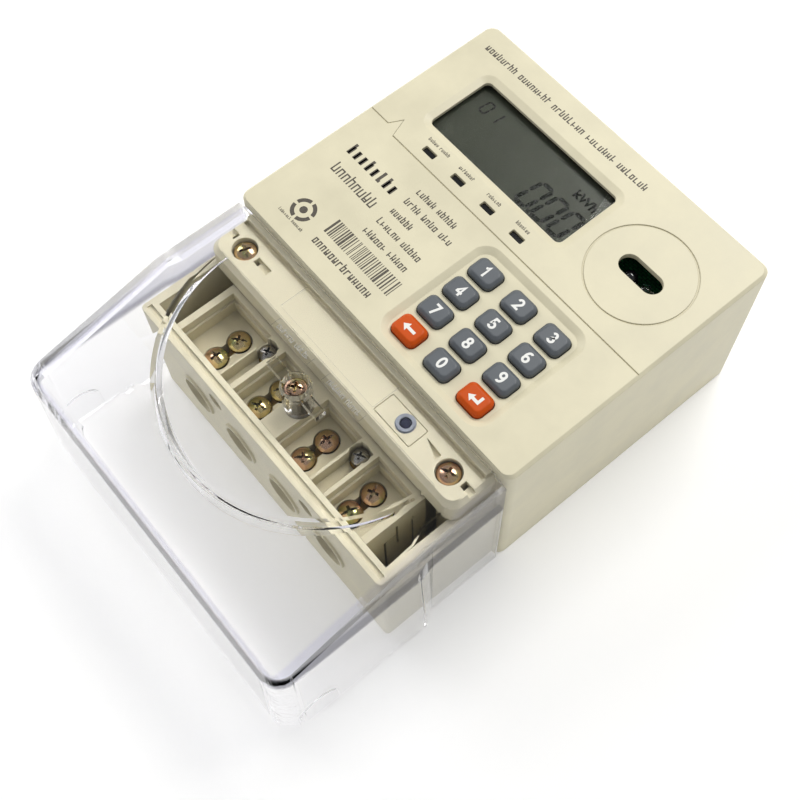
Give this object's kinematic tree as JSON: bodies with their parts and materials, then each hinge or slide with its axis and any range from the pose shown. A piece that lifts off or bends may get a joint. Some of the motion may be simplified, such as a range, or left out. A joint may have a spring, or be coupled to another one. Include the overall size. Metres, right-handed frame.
{
  "type": "prepaid electricity meter",
  "caption": "Keypad prepaid electricity meter with LCD window, optical port, screw terminals under a clear lift-off cover and a sliding wall hanger.",
  "frame": {"origin": "centre of the rear footprint, on the plane of the back face", "axes": "+X to the right of the front face, +Y to the top edge of the meter, +Z out of the front face"},
  "size_m": [0.13, 0.19, 0.0644],
  "materials": {
    "housing_plastic": "fine satin moulded ABS, warm cream",
    "block_plastic": "satin moulded polycarbonate, warm cream",
    "clear_polycarbonate": "clear moulded polycarbonate, faint lavender edges",
    "seal_rubber": "soft black seal",
    "zinc_steel": "yellow-passivated zinc plating",
    "nickel_steel": "nickel plating",
    "clamp_brass": "plain brass",
    "key_grey": "satin slate grey",
    "key_orange": "satin orange",
    "mat_rubber": "translucent grey silicone",
    "board_laminate": "green solder mask",
    "window_pane": "clear pane",
    "lcd_glass": "olive grey reflective liquid crystal panel",
    "backlight_plastic": "milky light guide",
    "lamp_lens": "smoked lamp lens",
    "dark_lens": "dark infrared lens",
    "clear_lens": "water-clear lens",
    "plunger_plastic": "dark navy plastic",
    "boot_rubber": "soft blue-grey rubber",
    "black_plastic": "black moulded plastic",
    "copper": "plain copper",
    "capacitor_film": "yellow boxed film capacitor",
    "capacitor_can": "sleeved aluminium can",
    "varistor_coat": "blue dipped coating",
    "battery_sleeve": "green shrink sleeve",
    "hanger_steel": "bright zinc plating"
  },
  "bodies": {
    "housing": {"rear_case": "housing_plastic", "front_cover": "housing_plastic", "case_seal": "seal_rubber", "case_screws": "zinc_steel", "terminal_block": "block_plastic", "terminal_screws": "zinc_steel", "aux_clamps": "clamp_brass", "aux_screws": "nickel_steel", "keypad_mat": "mat_rubber", "display_board": "board_laminate", "board_screws": "nickel_steel", "display_window": "window_pane", "lcd_panel": "lcd_glass", "lcd_backlight": "backlight_plastic", "indicator_lamps": "lamp_lens", "ir_receiver": "dark_lens", "ir_emitter": "clear_lens", "port_plate": "nickel_steel", "plunger_boot": "boot_rubber", "tamper_switch": "black_plastic", "power_board": "board_laminate", "latching_relay": "black_plastic", "line_bar": "copper", "current_shunt": "copper", "neutral_bar": "copper", "mains_capacitor": "capacitor_film", "filter_capacitor": "capacitor_can", "surge_varistor": "varistor_coat", "backup_battery": "battery_sleeve", "battery_holder": "black_plastic", "buzzer": "black_plastic", "board_connector": "black_plastic", "clamp_line_in": "clamp_brass", "clamp_line_out": "clamp_brass", "clamp_neutral_in": "clamp_brass", "clamp_neutral_out": "clamp_brass"},
    "clear_cover": {"terminal_cover": "clear_polycarbonate", "cover_screw": "zinc_steel"},
    "tamper_plunger": {"tamper_plunger": "plunger_plastic"},
    "wall_hanger": {"wall_hanger": "hanger_steel"},
    "key_1": {"key_1": "key_grey"},
    "key_2": {"key_2": "key_grey"},
    "key_3": {"key_3": "key_grey"},
    "key_4": {"key_4": "key_grey"},
    "key_5": {"key_5": "key_grey"},
    "key_6": {"key_6": "key_grey"},
    "key_7": {"key_7": "key_grey"},
    "key_8": {"key_8": "key_grey"},
    "key_9": {"key_9": "key_grey"},
    "key_back": {"key_back": "key_orange"},
    "key_0": {"key_0": "key_grey"},
    "key_enter": {"key_enter": "key_orange"}
  },
  "joints": [
    {"name": "cover_lift", "type": "slide", "parent": "housing", "child": "clear_cover", "axis": [0, 0, 1], "range_m": [0, 0.07]},
    {"name": "key_1_press", "type": "slide", "parent": "housing", "child": "key_1", "axis": [0, 0, -1], "range_m": [0, 0.001], "stiffness_N_per_m": 600},
    {"name": "key_2_press", "type": "slide", "parent": "housing", "child": "key_2", "axis": [0, 0, -1], "range_m": [0, 0.001], "stiffness_N_per_m": 600},
    {"name": "key_3_press", "type": "slide", "parent": "housing", "child": "key_3", "axis": [0, 0, -1], "range_m": [0, 0.001], "stiffness_N_per_m": 600},
    {"name": "key_4_press", "type": "slide", "parent": "housing", "child": "key_4", "axis": [0, 0, -1], "range_m": [0, 0.001], "stiffness_N_per_m": 600},
    {"name": "key_5_press", "type": "slide", "parent": "housing", "child": "key_5", "axis": [0, 0, -1], "range_m": [0, 0.001], "stiffness_N_per_m": 600},
    {"name": "key_6_press", "type": "slide", "parent": "housing", "child": "key_6", "axis": [0, 0, -1], "range_m": [0, 0.001], "stiffness_N_per_m": 600},
    {"name": "key_7_press", "type": "slide", "parent": "housing", "child": "key_7", "axis": [0, 0, -1], "range_m": [0, 0.001], "stiffness_N_per_m": 600},
    {"name": "key_8_press", "type": "slide", "parent": "housing", "child": "key_8", "axis": [0, 0, -1], "range_m": [0, 0.001], "stiffness_N_per_m": 600},
    {"name": "key_9_press", "type": "slide", "parent": "housing", "child": "key_9", "axis": [0, 0, -1], "range_m": [0, 0.001], "stiffness_N_per_m": 600},
    {"name": "key_back_press", "type": "slide", "parent": "housing", "child": "key_back", "axis": [0, 0, -1], "range_m": [0, 0.001], "stiffness_N_per_m": 600},
    {"name": "key_0_press", "type": "slide", "parent": "housing", "child": "key_0", "axis": [0, 0, -1], "range_m": [0, 0.001], "stiffness_N_per_m": 600},
    {"name": "key_enter_press", "type": "slide", "parent": "housing", "child": "key_enter", "axis": [0, 0, -1], "range_m": [0, 0.001], "stiffness_N_per_m": 600},
    {"name": "plunger_press", "type": "slide", "parent": "housing", "child": "tamper_plunger", "axis": [0, 0, -1], "range_m": [0, 0.001], "stiffness_N_per_m": 300},
    {"name": "hanger_slide", "type": "slide", "parent": "housing", "child": "wall_hanger", "axis": [0, 1, 0], "range_m": [0, 0.018]}
  ]
}
